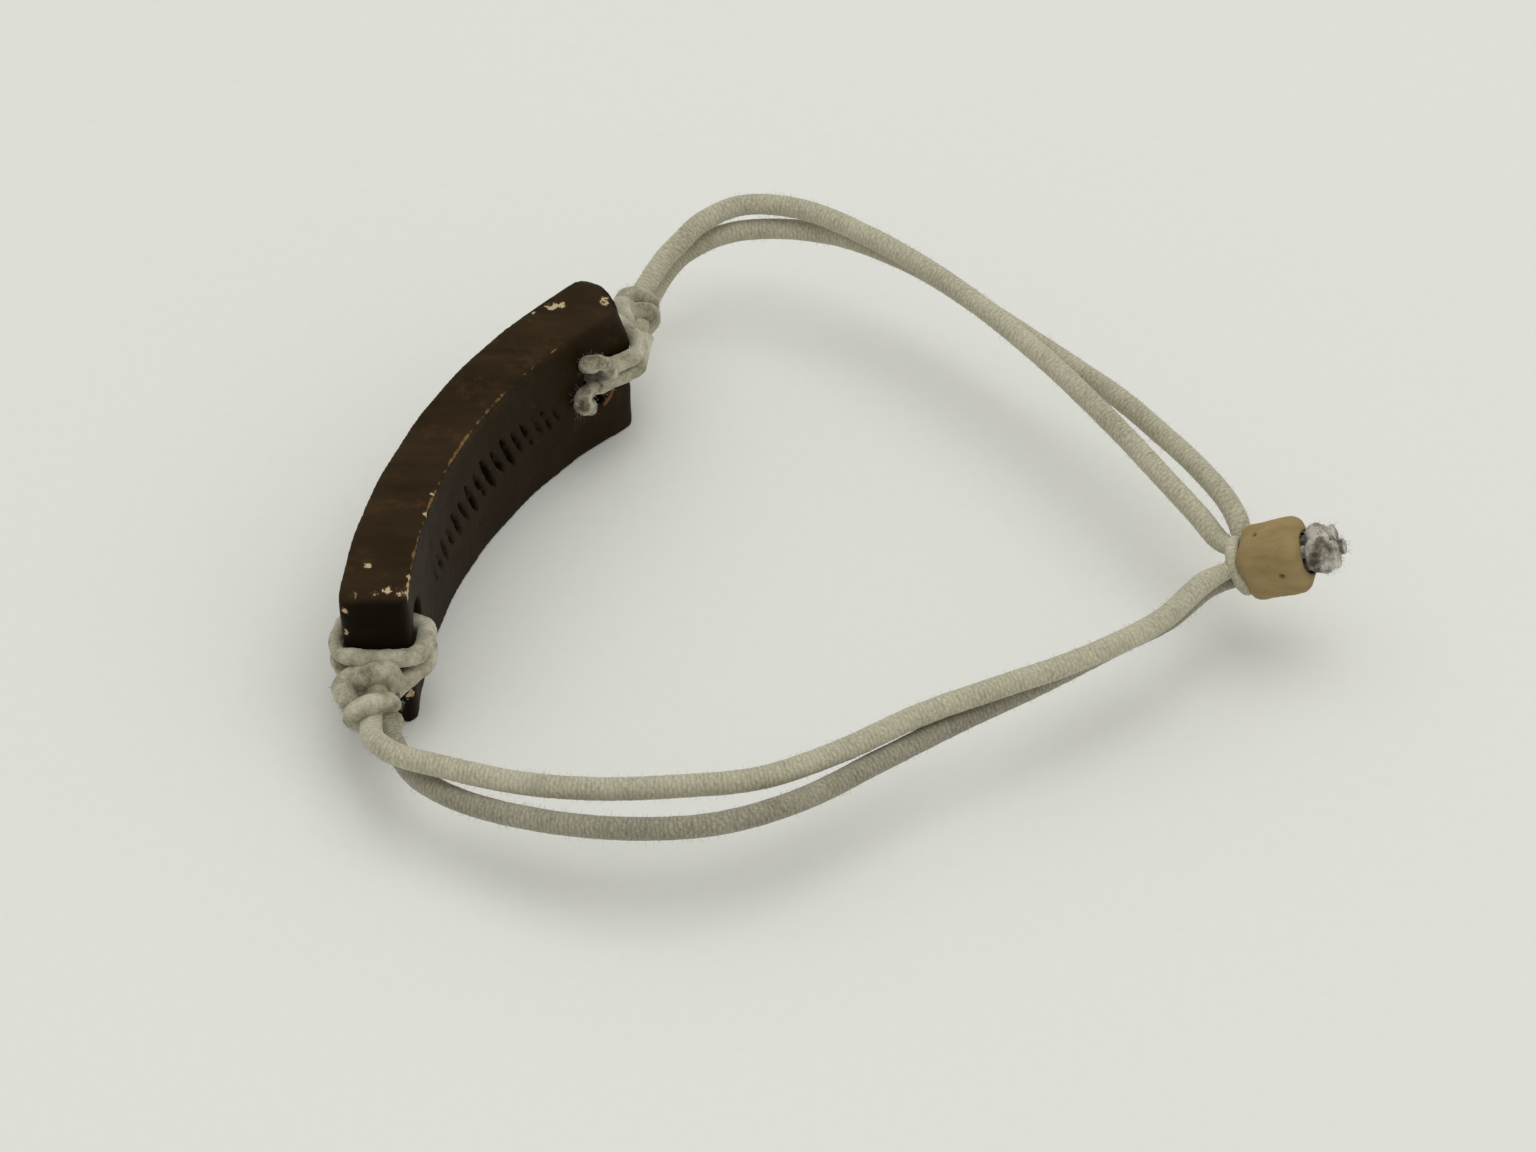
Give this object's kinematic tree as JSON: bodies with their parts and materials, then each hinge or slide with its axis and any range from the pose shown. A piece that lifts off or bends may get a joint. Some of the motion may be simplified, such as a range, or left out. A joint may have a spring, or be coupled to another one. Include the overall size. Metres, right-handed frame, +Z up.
{
  "type": "physical_object",
  "caption": "Bracelet: a curved dark lacquered wooden bar with a hole near each end, four covered elastic cord strands knotted to it, and a small tan wooden bead that gathers the strands.",
  "frame": {"origin": "middle of the wooden bar's flat underside, below the middle line of the bar's thickness", "axes": "+X runs from the bar towards the bead, +Y runs from the near end of the loop to the far end, +Z is up"},
  "size_m": [0.086, 0.075, 0.0148],
  "materials": {
    "lacquered_wood": "satin lacquer, dark brown, chipped at the edges",
    "bead_wood": "plain tan wood, worn",
    "cord_cover": "knitted cream cover, slightly soiled",
    "soiled_cover": "grey, frayed cut ends",
    "rubber_core": "matte"
  },
  "bodies": {
    "bar": {"wood_bar": "lacquered_wood", "near_upper_turn": "cord_cover", "near_lower_turn": "cord_cover", "near_knot": "cord_cover", "far_upper_turn": "cord_cover", "far_lower_turn": "cord_cover", "far_knot": "cord_cover", "far_tail": "soiled_cover"},
    "loop": {"strand_cover_upper_front": "cord_cover", "strand_cover_upper_back": "cord_cover", "strand_cover_lower_front": "cord_cover", "strand_cover_lower_back": "cord_cover", "strand_core_upper_front": "rubber_core", "strand_core_upper_back": "rubber_core", "strand_core_lower_front": "rubber_core", "strand_core_lower_back": "rubber_core"},
    "closure": {"mouth_wrap": "cord_cover", "bore_strand_1": "cord_cover", "bore_strand_2": "cord_cover", "bore_strand_3": "cord_cover", "bore_strand_4": "cord_cover", "closing_knot": "soiled_cover", "cut_end_1": "soiled_cover", "cut_end_2": "soiled_cover", "cut_end_3": "soiled_cover", "cut_end_4": "soiled_cover"},
    "bead": {"bead": "bead_wood"}
  },
  "joints": [
    {"name": "loop_fold", "type": "hinge", "parent": "bar", "child": "loop", "pos_m": [-0.00524, -0.02478, 0.007], "axis": [0.4051, 0.9141, 0.0161], "range_deg": [-90, 90]},
    {"name": "loop_stretch", "type": "slide", "parent": "loop", "child": "closure", "axis": [0.9854, -0.1701, 0], "range_m": [0, 0.02], "stiffness_N_per_m": 400, "deforming": ["strand_cover_upper_front", "strand_cover_upper_back", "strand_cover_lower_front", "strand_cover_lower_back", "strand_core_upper_front", "strand_core_upper_back", "strand_core_lower_front", "strand_core_lower_back"]},
    {"name": "bead_spin", "type": "hinge", "parent": "closure", "child": "bead", "pos_m": [0.0702, -0.0121, 0.01], "axis": [0.8569, -0.214, 0.469], "continuous": true}
  ]
}
